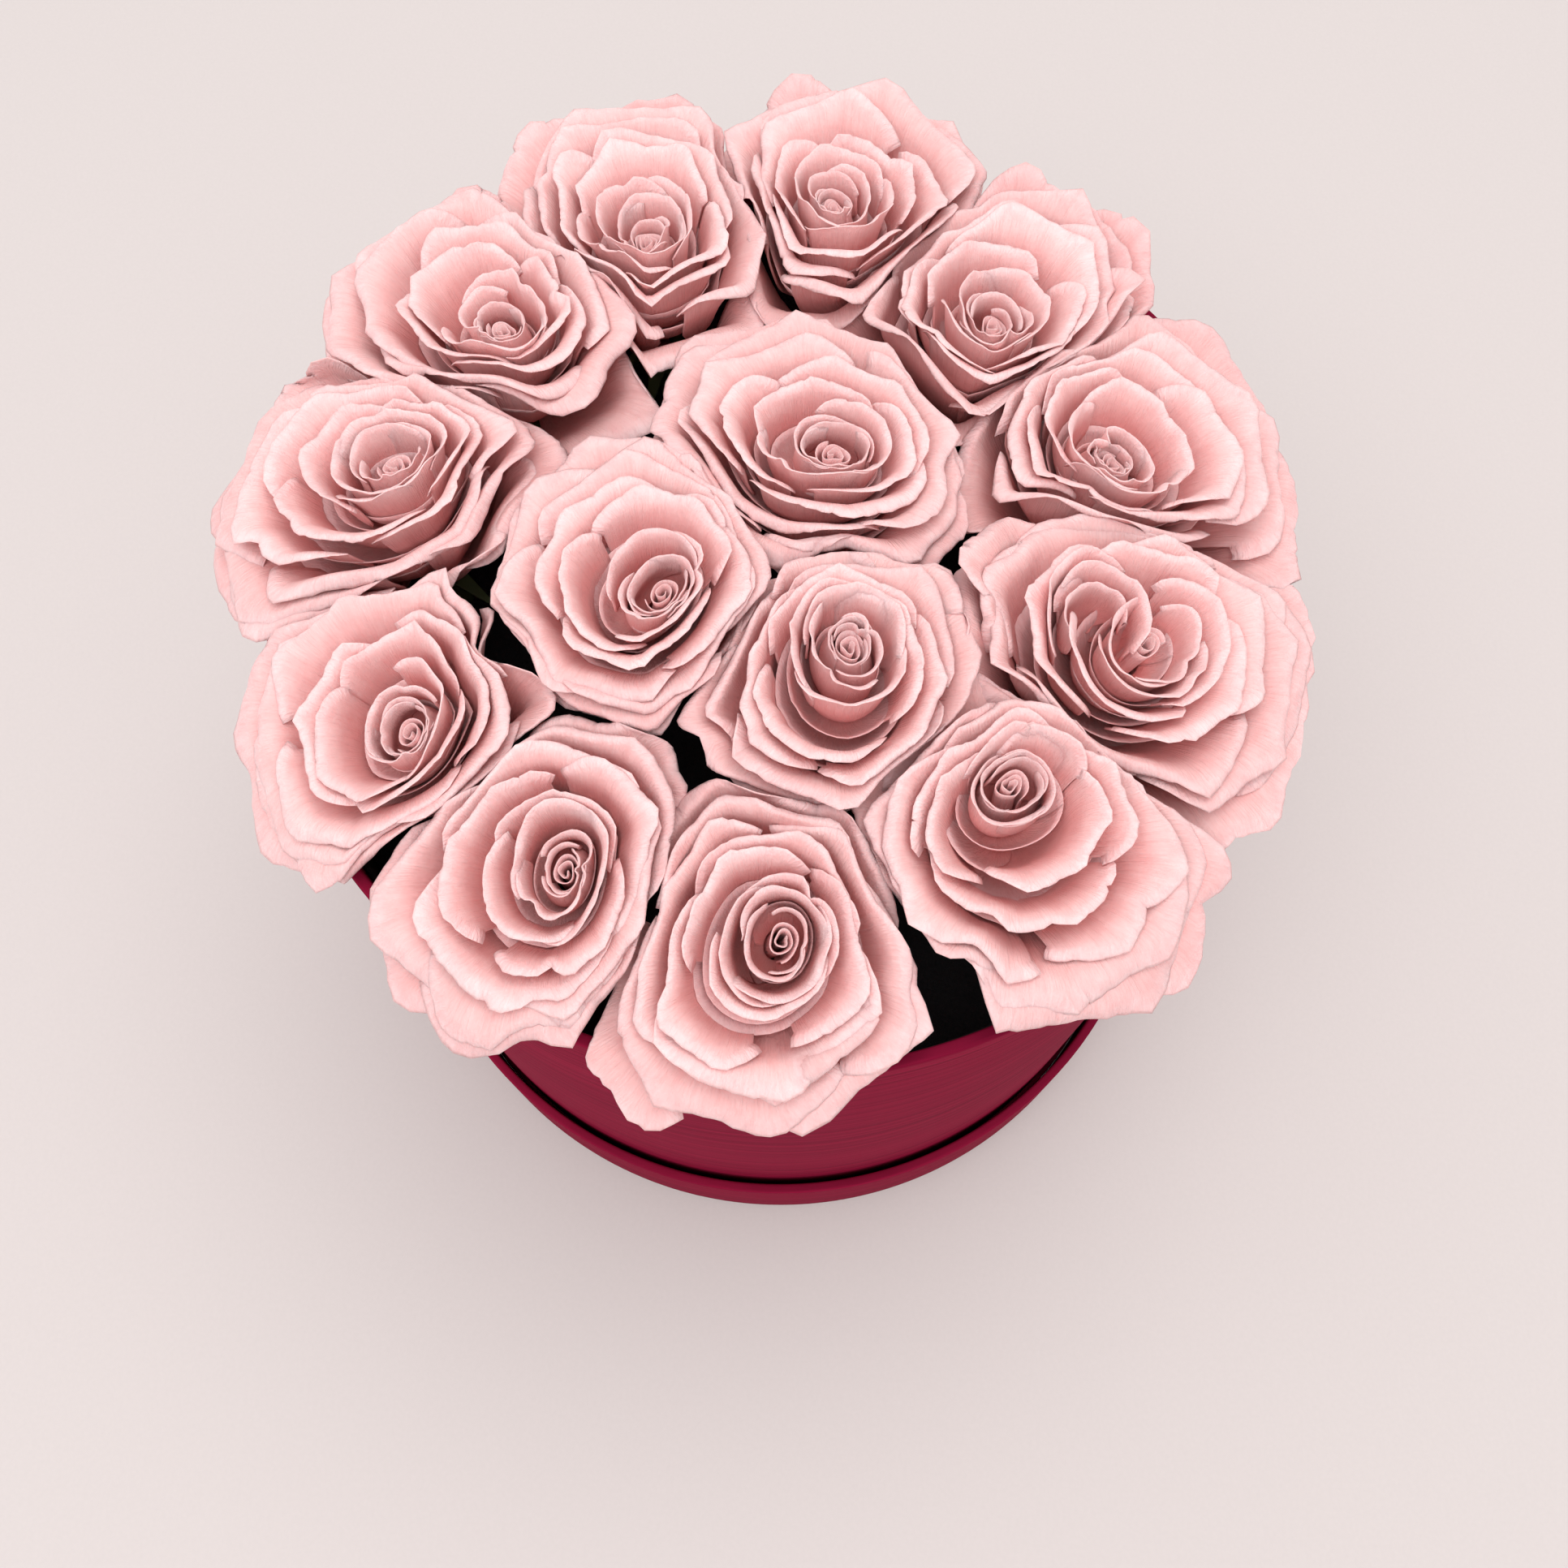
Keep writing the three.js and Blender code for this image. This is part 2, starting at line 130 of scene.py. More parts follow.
# Each rose: the axis of its head, its reach, the turn of its petals, where its heart lies, whether it
# is one of the inner three, how the heart's group of petals stands aside from the rest (layer, across,
# up), where a second group of petals in the heart stands, if it has one (across, up), and its guard
# petals (direction, how far out, width, how much its tip stands up)
ROSES = [
    {"name": "rose_a", "x": 14, "y": 78, "reach": 31, "turn": 95, "heart": (-4, -7), "inner": 0,
     "hollow": (0.3, 0.5, 2.2), "guards": [(104, 1.34, 70, 8), (52, 1.14, 90, 3), (8, 1.06, 80, 0)]},
    {"name": "rose_b", "x": -28, "y": 72, "reach": 32, "turn": 20, "heart": (1, -7), "inner": 0,
     "hollow": (0.2, 0.5, -1), "guards": [(74, 1.22, 110, 4), (126, 1.18, 90, 3)]},
    {"name": "rose_c", "x": -59, "y": 51, "reach": 33, "turn": 140, "heart": (3, -7), "inner": 0,
     "hollow": (0.35, 2, -2), "guards": [(158, 1.14, 120, 2), (98, 1.22, 60, 6), (318, 1.2, 90, 0)]},
    {"name": "rose_d", "x": 43, "y": 51, "reach": 32, "turn": 250, "heart": (-3, -6), "inner": 0,
     "hollow": (0.3, 2, -1.5), "guards": [(70, 1.14, 100, 4), (32, 1.28, 100, 3), (356, 1.12, 80, 0)]},
    {"name": "rose_e", "x": -79, "y": 12, "reach": 33, "turn": 170, "heart": (4, -1), "inner": 0,
     "hollow": (0.55, 2.6, 1.4), "guards": [(176, 1.12, 130, 2), (116, 1.38, 60, 14), (236, 1.04, 90, 0)]},
    {"name": "rose_f", "x": 7, "y": 16, "reach": 31, "turn": 110, "heart": (2, -4), "inner": 1,
     "hollow": (0.25, 1.6, -1.2), "guards": [(140, 1.04, 120, 0), (236, 1.0, 90, 0)]},
    {"name": "rose_g", "x": 67, "y": 20, "reach": 33, "turn": 60, "heart": (-3, -7), "inner": 0,
     "hollow": (0.3, -1.5, -1.5),
     "guards": [(60, 1.22, 100, 4), (16, 1.12, 100, 1), (334, 1.24, 80, 3), (202, 1.12, 90, 0)]},
    {"name": "rose_h", "x": -27, "y": -14, "reach": 31, "turn": 200, "heart": (5, -2), "inner": 1,
     "hollow": (0.22, 2, -2), "guards": [(96, 1.02, 120, 0), (200, 1.02, 120, 0)]},
    {"name": "rose_i", "x": 11, "y": -34, "reach": 29, "turn": 300, "heart": (1, 2), "inner": 1,
     "hollow": (0.38, 0.6, 3.8), "guards": [(215, 1.06, 110, 0), (80, 1.0, 90, 0)]},
    {"name": "rose_j", "x": 65, "y": -25, "reach": 35, "turn": 10, "heart": (-2, 2), "inner": 0,
     "hollow": (0.42, 4.2, -1.2), "second": (-7, 2.5),
     "guards": [(8, 1.04, 110, 0), (318, 1.12, 90, 0), (36, 1.3, 80, 4), (150, 1.04, 60, 3),
                (184, 1.06, 80, 0)]},
    {"name": "rose_k", "x": -70, "y": -38, "reach": 32, "turn": 230, "heart": (4, -3), "inner": 0,
     "hollow": (0.24, 1.2, -1.8), "guards": [(178, 1.04, 130, 0), (240, 0.92, 90, 0)]},
    {"name": "rose_l", "x": -42, "y": -67, "reach": 32, "turn": 215, "heart": (5, -2), "inner": 0,
     "hollow": (0.3, 1.2, 0.8),
     "guards": [(214, 1.04, 120, 0), (268, 0.86, 100, 0), (304, 0.9, 60, 0), (62, 1.08, 70, 0)]},
    {"name": "rose_m", "x": -3, "y": -81, "reach": 31, "turn": 265, "heart": (1, -1), "inner": 0,
     "hollow": (0.3, 3, 1.8), "guards": [(204, 1.2, 76, 1), (282, 0.7, 120, 0), (100, 1.12, 90, 2)]},
    {"name": "rose_n", "x": 44, "y": -61, "reach": 34, "turn": 320, "heart": (-3, 4), "inner": 0,
     "hollow": (0.42, -1.2, 5.2),
     "guards": [(356, 1.04, 110, 0), (24, 1.16, 80, 2), (300, 0.94, 120, 0), (246, 0.9, 90, 0)]},
]

# Dark gaps between the heads, each (x, y, radius)
GAPS = [
    (-51, -27, 2.2), (-57, -13, 1.4), (-15, -45, 2.2), (29, -87, 2.8), (-40, -106, 9),
]

# Petals of a head, from the outermost inward, with angles in degrees. They stand in loose bands, at
# uneven distances. The heart's group fades into the rest over the layers from HOLLOW_BELOW to
# HOLLOW_ABOVE about its own, and a second group takes two of every five petals that come after
# number SECOND_GROUP_AFTER.
PETAL_COUNT = 17
OUTER_PETALS = 9
LAYER_JITTER = 0.6
CLOSING_POWER = 0.85
CLOSING_SHARE = 0.55
BANDS = 2.6
BAND_DEPTH = 0.6
HEART_LAYER = 0.06
STEP_LEAST = 0.016
STEP_MOST = 0.05
GUARD_STEP = 0.06
FIRST_TURN = 60
TURN_CHANGE = 9
WIDTH_HEART = 215
WIDTH_OUTER = 128
WIDTH_FROM_LAYER = 0.05
WIDTH_FULL_LAYER = 0.5
WIDTH_CHANGE = 0.09
HEART_SHIFT_POWER = 1.3
HOLLOW_BELOW = 0.1
HOLLOW_ABOVE = 0.12
SECOND_GROUP_AFTER = 5
SECOND_GROUP_CYCLE = 5
SECOND_GROUP_TAKES = (1, 3)
OVAL = 0.13
OVAL_POWER = 0.7

# Guard petals towards the corners where a head meets two neighbours: (how far out, width, lift)
CORNER_GUARD = (1.1, 96, 0)
CORNER_SEARCH_STEP = 3
CORNER_HEIGHT = 186.0
CORNER_RANGE = 1.5
CORNER_SPACING = 38
GAP_KEEP_OFF = 3

# Facets of a petal: across it, from its claw to its margin, and round its rolled margin
GUARD_GRID = {"across": 36, "along": 12, "roll": 6}
OUTER_GRID = {"across": 36, "along": 13, "roll": 6}
INNER_GRID = {"across": 32, "along": 10, "roll": 4}
ROW_CROWDING = 1.25
PETAL_THICKNESS = 0.45
MARGIN_THICKNESS = 0.18
THINNING_ROWS = 4

# The body of a petal: one side lies over its neighbour, its margin has corners a chord apart, each
# with a small point, and a nick and fine ripples, and it waves and folds where it is loose. Waves are
# pairs of pitch and size.
OVERLAP_LEAN = 0.8
APEX_SHIFT = 0.22
CHORD_HALF = 24
CHORD_CHANGE = 6
GUARD_POINTED = 0.3
PETAL_POINTED = 0.55
SIDE_DROP = 0.22
SIDE_DROP_POWER = 5
SHORTER = 0.045
POINT_LENGTH = 0.022
POINT_WIDTH = 0.07
POINT_FROM_APEX = 0.5
NICK_DEPTH = 0.08
NICK_WIDTH = 0.045
NICK_PLACE = 0.8
NICK_FROM_LAYER = 0.3
NICK_FULL_LAYER = 0.7
MARGIN_RIPPLES = [(11, 0.009), (25, 0.007), (43, 0.007)]
FACETING = 0.5
FACETING_FROM_LAYER = 0.1
FACETING_FULL_LAYER = 0.5
TIP_LIFT_POWER = 3
HEIGHT_CHANGE = 0.5
HEIGHT_FROM_LAYER = 0.3
HEIGHT_FULL_LAYER = 0.8
LOOSENESS = 2.2
LOOSE_WAVES = [(2.6, 0.22), (5.5, 0.09), (11, 0.025)]
LOOSE_POWER = 2.5
LOOSE_RISES = [(3, 0.2), (7, 0.07)]
LOOSE_RISE_POWER = 3
FOLD_PLACE = 0.55
FOLD_DEPTH = 0.75
FOLD_WIDTH = 0.11
FOLD_POWER = 4
CLAW_WIDTH = 0.34
FULL_WIDTH_FROM = 0.65

# The rolled margin of a petal: its length, and how far round it curls, in degrees
ROLL_HEART = 0.6
ROLL_OUTER = 3.5
ROLL_POWER = 0.8
ROLL_CHANGE = 0.2
CURL_HEART = 45
CURL_OUTER = 92
CURL_CHANGE = 0.25
CURL_AT_CORNER = 0.12
CURL_POWER = 0.8
CURL_RIPPLES = [(4, 0.2), (9, 0.12)]
LEAST_CURL = 0.05

# Whole cups of short petals, which close a head below the spaces in its heart
LINING_LAYERS = (0.14, 0.28, 0.4, 0.5, 0.66, 0.84)
LINING_TOP = 0.55
LINING_FLARE = 2.5
LINING_SIDES = 38
LINING_ROWS = 6

# The coil of petals in the heart of a head
COIL_TURNS = 2.4
COIL_RADIUS = 3.1
COIL_INNER_RADIUS = 0.45
COIL_WINDING = 0.85
COIL_FOOT = 0.8
COIL_HEIGHT = 18
COIL_BELOW_HEAD = 3.2
COIL_RISE = 0.9
COIL_SWAY = (3.3, 0.12)
COIL_TOP_WAVE = (2.1, 0.35)
COIL_LIP = 0.35
COIL_LIP_FROM = 0.8
COIL_STEPS = 72
COIL_ROWS = 8

# How light petals are, from 0 to 1, and how much that changes from petal to petal
GUARD_TONE = (0.26, 0.26)
HEART_TONE = 0.85
OUTER_TONE = 0.36
TONE_FROM_LAYER = 0.6
TONE_CHANGE = 0.15
LINING_TONE = 0.5
COIL_TONE = 0.7

# The repeatable draws: weights of head, petal and channel, and the numbers that the coil, the guard
# petals and a pair of heads have in them
DRAW_WEIGHTS = (12.9898, 78.233, 37.719)
DRAW_STRETCH = 43758.5453
COIL_NUMBER = 50
GUARD_NUMBER = 60
PAIR_STEP = 20

# Channels of a ripple's waves, above the channel that the ripple is given
PHASE_CHANNEL_STEP = 0.13
PITCH_CHANNEL_STEP = 0.07
PITCH_CHANNEL = 5
PITCH_CHANGE = 0.25

# Channels of the draws for each petal
TURN_DRAW = 1
APEX_DRAW = 2
WIDTH_DRAW = 3
CHORD_DRAW = 4
MARGIN_DRAW = 7
WAVE_DRAW = 11
RISE_DRAW = 13
CURL_DRAW = 17
CURL_RIPPLE_DRAW = 19
ROLL_DRAW = 23
TONE_DRAW = 29
HEIGHT_DRAW = 31
SHORTER_DRAW = 37
FOLD_PLACE_DRAW = 41
FOLD_DEPTH_DRAW = 43
LAYER_DRAW = 47
NICK_PLACE_DRAW = 61
NICK_DEPTH_DRAW = 67

# Number and channel of the draws for each head, its coil, and each pair of heads
BAND_DRAW = (3, 53)
OVAL_DRAW = (5, 59)
COIL_SWAY_DRAW = (COIL_NUMBER, 1)
COIL_TOP_DRAW = (COIL_NUMBER, 2)
LAP_SIDE_DRAW = (1, 1)
LAP_WAVE_DRAW = (2, 1)

# Card of the box and its lid: its thickness, the rounding of its edges, its facets, and the lapped
# seam of the wrap at the back, in millimetres and radians
BOARD = 2.4
LINER_BOARD = 1.0
EDGE_ROUND = 0.8
DISC_ROUND = 0.4
LINER_ROUND = 0.3
RING_SEGMENTS = 256
EDGE_STEPS = 4
EDGE_SHARE = 0.45
WELD_DISTANCE = 0.01
SEAM_ANGLE = math.radians(97)
SEAM_WIDTH = math.radians(7)
SEAM_FADE = 0.006
SEAM_STEP = 0.3

# Studio: a plain floor a hair below the box, in millimetres, and two round lights, in metres and
# watts (place, size, energy, colour)
FLOOR_HALF = 3000
FLOOR_BELOW = 0.2
LIGHT_TARGET = (0, 0, 0.15)
LIGHTS = {
    "key": ((0.25, 0.3, 1.6), 1.0, 6, (1, 0.98, 0.96)),
    "fill": ((-0.3, -0.6, 1.5), 1.2, 9.8, (0.97, 0.98, 1)),
}
WORLD_COLOR = (1, 0.985, 0.98, 1)
WORLD_STRENGTH = 1.02


def draw(head, petal, channel):
    """A repeatable draw between -1 and 1."""
    of_head, of_petal, of_channel = DRAW_WEIGHTS
    wave = math.sin(head * of_head + petal * of_petal + channel * of_channel) * DRAW_STRETCH
    return 2 * (wave - math.floor(wave)) - 1


def smoothstep(x, low, high):
    t = np.clip((np.asarray(x, float) - low) / (high - low), 0, 1)
    return t * t * (3 - 2 * t)


def lerp(a, b, t):
    return a + (b - a) * t


def dent(x, middle, width):
    """A smooth dent of depth 1 around the middle."""
    return np.exp(-(((x - middle) / width) ** 2))


def ripple(x, head, petal, channel, waves):
    """A smooth repeatable wobble along x with the given waves, each (frequency, amplitude)."""
    total = np.zeros_like(x)
    for n, (frequency, amplitude) in enumerate(waves):
        phase = math.pi * draw(head, petal, channel + PHASE_CHANNEL_STEP * n)
        change = draw(head, petal, channel + PITCH_CHANNEL_STEP * n + PITCH_CHANNEL)
        pitch = frequency * (1 + PITCH_CHANGE * change)
        total += amplitude * np.sin(pitch * x + phase)
    return total


def head_frame(rose):
    """The calyx of a head, and the turn from upright to its leaning axis."""
    rise = CALYX_TOP + rose["inner"] * INNER_RISE
    base = np.array([rose["x"] * CALYX_INWARD, rose["y"] * CALYX_INWARD, rise])
    tip = np.array([rose["x"], rose["y"], rise + HEAD_HEIGHT])
    axis = Vector(tip - base).normalized()
    turn = Vector((0, 0, 1)).rotation_difference(axis).to_matrix()
    return base, np.array(turn)


def petal_layers(head):
    """How far out each petal of a head stands, from 1 at the outside down to the heart."""
    number = np.arange(PETAL_COUNT + 2)
    jitter = np.array([draw(head, n, LAYER_DRAW) for n in number])
    share = np.clip((number + LAYER_JITTER * jitter * (number > 0)) / (PETAL_COUNT - 1), 0, 1)
    closing = 0.5 * (1 + np.cos(math.pi * share**CLOSING_POWER))
    falling = lerp(1 - share, closing, CLOSING_SHARE)
    phase = math.pi * draw(head, *BAND_DRAW)
    pitch = 2 * math.pi * BANDS
    banded = falling + BAND_DEPTH / pitch * (np.sin(pitch * falling + phase) - np.sin(pitch + phase))
    banded = np.minimum(1, banded) * (banded > 0)
    return HEART_LAYER + (1 - HEART_LAYER) * banded


def cup_controls(layer, reach):
    """Radius and height of the five points that draw the section of a nested cup."""
    opened = smoothstep(layer, OPENED_FROM_LAYER, 1)
    flare = FLARE * min(1, layer / FLARE_FULL_LAYER) ** FLARE_POWER
    fall = max(0, (layer - FALL_FROM_LAYER) / (1 - FALL_FROM_LAYER)) ** FALL_POWER
    dip = max(0, 1 - layer / DIP_BELOW_LAYER) ** 2
    top = HEAD_HEIGHT - TIP_FALL * fall - GUARD_FALL * max(0, layer - 1) - HEART_DIP * dip
    tip = HEART_OPENING + (FREE_SPREAD * reach - HEART_OPENING) * layer**SPREAD_POWER
    root = lerp(ROOT_HEIGHT_HEART, ROOT_HEIGHT_OUTER, min(1, layer) ** ROOT_POWER)
    belly = lerp(root, top, BELLY_LEVEL + BELLY_LEVEL_GROWTH * opened)
    return [
        (CORE_RADIUS - ROOT_SUNK, root),
        (CORE_RADIUS + HIP_OUT + HIP_GROWTH * layer, root - HIP_DROP),
        (BELLY_RADIUS + BELLY_GROWTH * layer**BELLY_POWER, belly),
        (tip * (1 - flare), top - LIP_DROP_HEART + LIP_RISE * opened),
        (tip, top),
    ]


def cup_profile(layer, reach, t):
    """Radius and height of a nested cup at t from its root to its margin."""
    controls = cup_controls(layer, reach)
    weights = [(1 - t) ** 4, 4 * t * (1 - t) ** 3, 6 * t**2 * (1 - t) ** 2, 4 * t**3 * (1 - t), t**4]
    radius = sum(control[0] * weight for control, weight in zip(controls, weights))
    height = sum(control[1] * weight for control, weight in zip(controls, weights))
    return radius, height


def lap(rose, other, along, height):
    """How far the border between two heads stands aside, so that petals of one lie over the other."""
    first, second = sorted((ROSES.index(rose), ROSES.index(other)))
    side = 1 if ROSES[first] is rose else -1
    pair = PAIR_STEP * first + second
    over = 1 if draw(pair, *LAP_SIDE_DRAW) + rose["inner"] * side - other["inner"] * side > 0 else -1
    level = BORDER_HEIGHT + BORDER_RISE * (rose["inner"] + other["inner"])
    wave = LAP_WAVE * np.sin(LAP_WAVE_PITCH * side * along + math.pi * draw(pair, *LAP_WAVE_DRAW))
    return side * (LAP_WIDTH * over * np.tanh((height - level) / LAP_DEPTH) + wave)


def room_for(rose, angle, height):
    """How far a head may spread in a direction before it meets a neighbour or a gap."""
    crowding = np.zeros(np.broadcast(angle, height).shape)
    for other in ROSES:
        dx, dy = other["x"] - rose["x"], other["y"] - rose["y"]
        apart = math.hypot(dx, dy)
        if other is rose or apart > rose["reach"] + other["reach"] + NEIGHBOUR_RANGE:
            continue
        towards = (dx * np.cos(angle) + dy * np.sin(angle)) / apart
        aside = (dx * np.sin(angle) - dy * np.cos(angle)) / apart
        share = (apart**2 + rose["reach"] ** 2 - other["reach"] ** 2) / (2 * apart)
        facing = np.maximum(towards, FACING_LIMIT)
        border = share + lap(rose, other, share * aside / facing, height) - HEAD_CLEARANCE
        crowding += np.where(towards > FACING_LIMIT, (facing / border) ** ROUNDING, 0)
    for x, y, radius in GAPS:
        dx, dy = x - rose["x"], y - rose["y"]
        apart = math.hypot(dx, dy)
        if apart > GAP_RANGE * rose["reach"]:
            continue
        towards = dx * np.cos(angle) + dy * np.sin(angle)
        aside = (dx * np.sin(angle) - dy * np.cos(angle)) / radius
        border = np.maximum(apart - radius + GAP_SLOPE * radius * aside**2, GAP_LEAST_ROOM)
        crowding += np.where(towards > 0, border ** -float(ROUNDING), 0)
    return np.maximum(crowding, LEAST_CROWDING) ** (-1 / ROUNDING)


def rim_floor(points):
    """The lowest that a petal may lie, so that it passes over the box's rim."""
    from_axis = np.hypot(points[..., 0], points[..., 1])
    passing = smoothstep(from_axis, BOX_INNER - RIM_SLOPE_INNER, BOX_INNER - RIM_SLOPE_OUTER)
    return lerp(CALYX_TOP - FLOOR_BELOW_CALYX, BOX_TOP + RIM_CLEARANCE, passing)


def bend_clear(points, rose):
    """Bends points clear of the neighbouring heads and of the box's rim."""
    dx, dy = points[..., 0] - rose["x"], points[..., 1] - rose["y"]
    reached = np.maximum(np.hypot(dx, dy), LEAST_REACHED)
    widest = FREE_SPREAD * rose["reach"] + SQUEEZE_MARGIN
    room = room_for(rose, np.arctan2(dy, dx), points[..., 2])
    squeeze = np.maximum(0, 1 - room / widest)
    kept = np.minimum(1 - squeeze * (reached / widest) ** SQUEEZE_POWER, np.maximum(room, 0) / reached)
    bent = points.copy()
    bent[..., 0] = rose["x"] + dx * kept
    bent[..., 1] = rose["y"] + dy * kept
    bent[..., 2] += SQUEEZE_LIFT * reached * (1 - kept)
    from_axis = math.hypot(rose["x"], rose["y"])
    facing = np.maximum(0, (dx * rose["x"] + dy * rose["y"]) / (from_axis * rose["reach"]))
    bent[..., 2] += FAR_STAND * smoothstep(rose["y"], FAR_FROM, FAR_FULL) * facing**2
    floor = rim_floor(bent)
    above = bent[..., 2] - floor
    lifted = np.where(above > 0, np.hypot(above, 1), 1 / (1 - np.minimum(above, 0)))
    beyond = np.maximum(0, np.hypot(bent[..., 0], bent[..., 1]) - BOX_INNER - 1)
    bent[..., 2] = floor + lifted - DROOP * beyond**DROOP_POWER
    return bent


def unit(vectors):
    return vectors / np.maximum(np.linalg.norm(vectors, axis=-1, keepdims=True), LEAST_LENGTH)


def surface_normals(points):
    """Normals of a grid of points, which face away from the heart of the head."""
    return unit(np.cross(np.gradient(points, axis=0), np.gradient(points, axis=1)))


def place_in_head(rose, radius, angle, height, layer, in_second_group=False):
    """Turns radius, angle and height about a head's axis into points of the box."""
    depth = smoothstep(height, 0, HEAD_HEIGHT)
    shift = max(0, 1 - layer) ** HEART_SHIFT_POWER * depth
    hollow_layer, across, up = rose["hollow"]
    aside = (1 - smoothstep(layer, hollow_layer - HOLLOW_BELOW, hollow_layer + HOLLOW_ABOVE)) * depth
    if in_second_group:
        across, up = rose["second"]
    phase = math.pi * draw(ROSES.index(rose), *OVAL_DRAW)
    oval = 1 + OVAL * np.cos(2 * angle + phase) * max(0, 1 - layer) ** OVAL_POWER
    radius = radius * oval
    local = np.stack(
        [
            radius * np.cos(angle) + shift * rose["heart"][0] + aside * across,
            radius * np.sin(angle) + shift * rose["heart"][1] + aside * up,
            height + np.zeros_like(radius),
        ],
        axis=-1,
    )
    base, turn = head_frame(rose)
    return local @ turn.T + base


def margin_drop(u, head, petal, layer, spread, is_guard):
    """How far the margin of a petal falls short of its cup, and the corner and bulge of its facets."""
    apex = APEX_SHIFT * draw(head, petal, APEX_DRAW)
    chord = math.radians(CHORD_HALF + CHORD_CHANGE * draw(head, petal, CHORD_DRAW))
    along_chord = np.abs(u - apex) * spread % (2 * chord)
    corner = np.cos(chord) / np.cos(along_chord - chord)
    bulge = np.sin(math.pi * along_chord / (2 * chord))
    pointed = GUARD_POINTED if is_guard else PETAL_POINTED
    shorter = SHORTER * (1 + draw(head, petal, SHORTER_DRAW)) * layer
    drop = SIDE_DROP * np.abs(u) ** SIDE_DROP_POWER + pointed * (1 - corner) + shorter
    drop = drop - POINT_LENGTH * dent(along_chord, 0, POINT_WIDTH) * (np.abs(u - apex) < POINT_FROM_APEX)
    drop = drop + ripple(u, head, petal, MARGIN_DRAW, MARGIN_RIPPLES)
    nick = NICK_DEPTH * max(0, draw(head, petal, NICK_DEPTH_DRAW))
    nick = nick * smoothstep(layer, NICK_FROM_LAYER, NICK_FULL_LAYER)
    drop = drop + nick * dent(u, NICK_PLACE * draw(head, petal, NICK_PLACE_DRAW), NICK_WIDTH)
    return drop, corner, bulge


def rolled_margin(body, head, petal, layer, u, bulge, rows):
    """The rows of points that carry the margin of a petal outward and round."""
    margin = body[:, -1]
    normal = surface_normals(body)[:, -1]
    along = unit(np.gradient(margin, axis=0))
    outward = body[:, -1] - body[:, -2]
    outward = unit(outward - along * np.sum(outward * along, axis=-1, keepdims=True))
    length = lerp(ROLL_HEART, ROLL_OUTER, layer**ROLL_POWER)
    length = length * (1 + ROLL_CHANGE * draw(head, petal, ROLL_DRAW))
    curl = lerp(CURL_HEART, CURL_OUTER, min(1, layer)) * (1 + CURL_CHANGE * draw(head, petal, CURL_DRAW))
    curl = curl * (CURL_AT_CORNER + (1 - CURL_AT_CORNER) * bulge**CURL_POWER)
    curl = np.radians(curl * (1 + ripple(u, head, petal, CURL_RIPPLE_DRAW, CURL_RIPPLES)))
    bend = length / np.maximum(curl, LEAST_CURL)
    rolled = []
    for n in range(1, rows + 1):
        theta = (curl * n / rows)[:, None]
        out = bend[:, None] * np.sin(theta)
        down = bend[:, None] * (1 - np.cos(theta))
        rolled.append(margin + outward * out + normal * down)
    return np.stack(rolled, axis=1)


def petal_surface(rose, head, petal, layer, step, middle, spread, grid, lift=0):
    """The middle surface of a petal: its cupped body, then its rolled margin."""
    u = np.linspace(-1, 1, grid["across"] + 1)[:, None]
    v = (1 - (1 - np.linspace(0, 1, grid["along"] + 1)) ** ROW_CROWDING)[None, :]
    drop, corner, bulge = margin_drop(u, head, petal, layer, spread, grid is GUARD_GRID)
    before, last = cup_controls(layer, rose["reach"])[3:]
    pace = 4 * math.hypot(last[0] - before[0], last[1] - before[1])
    t = v * (1 - drop * last[0] / pace)
    radius, height = cup_profile(layer, rose["reach"], t)
    lean = -OVERLAP_LEAN * step * spread / math.radians(GOLDEN_ANGLE)
    radius = radius + lean * u * FREE_SPREAD * rose["reach"] * t
    faceting = FACETING * smoothstep(layer, FACETING_FROM_LAYER, FACETING_FULL_LAYER)
    radius = radius * lerp(1, corner, faceting * t**2)
    height = height + lift * (1 - u**2) * t**TIP_LIFT_POWER
    change = HEIGHT_CHANGE * draw(head, petal, HEIGHT_DRAW)
    height = height + change * smoothstep(layer, HEIGHT_FROM_LAYER, HEIGHT_FULL_LAYER) * t**2
    loose = LOOSENESS * step * FREE_SPREAD * rose["reach"]
    wave = ripple(u, head, petal, WAVE_DRAW, LOOSE_WAVES)
    fold_depth = loose * FOLD_DEPTH * max(0, draw(head, petal, FOLD_DEPTH_DRAW))
    fold = dent(u, FOLD_PLACE * draw(head, petal, FOLD_PLACE_DRAW), FOLD_WIDTH)
    radius = radius + loose * wave * t**LOOSE_POWER - fold_depth * fold * t**FOLD_POWER
    rises = ripple(u, head, petal, RISE_DRAW, LOOSE_RISES)
    height = height + loose * rises * t**LOOSE_RISE_POWER
    width = CLAW_WIDTH + (1 - CLAW_WIDTH) * smoothstep(v, 0, FULL_WIDTH_FROM)
    angle = middle + u * spread * width
    in_heart = SECOND_GROUP_AFTER < petal < GUARD_NUMBER
    taken = petal % SECOND_GROUP_CYCLE in SECOND_GROUP_TAKES
    in_second_group = "second" in rose and in_heart and taken
    body = place_in_head(rose, radius, angle, height, layer, in_second_group)
    rolled = rolled_margin(body, head, petal, layer, u[:, 0], bulge[:, 0], grid["roll"])
    return bend_clear(np.concatenate([body, rolled], axis=1), rose)


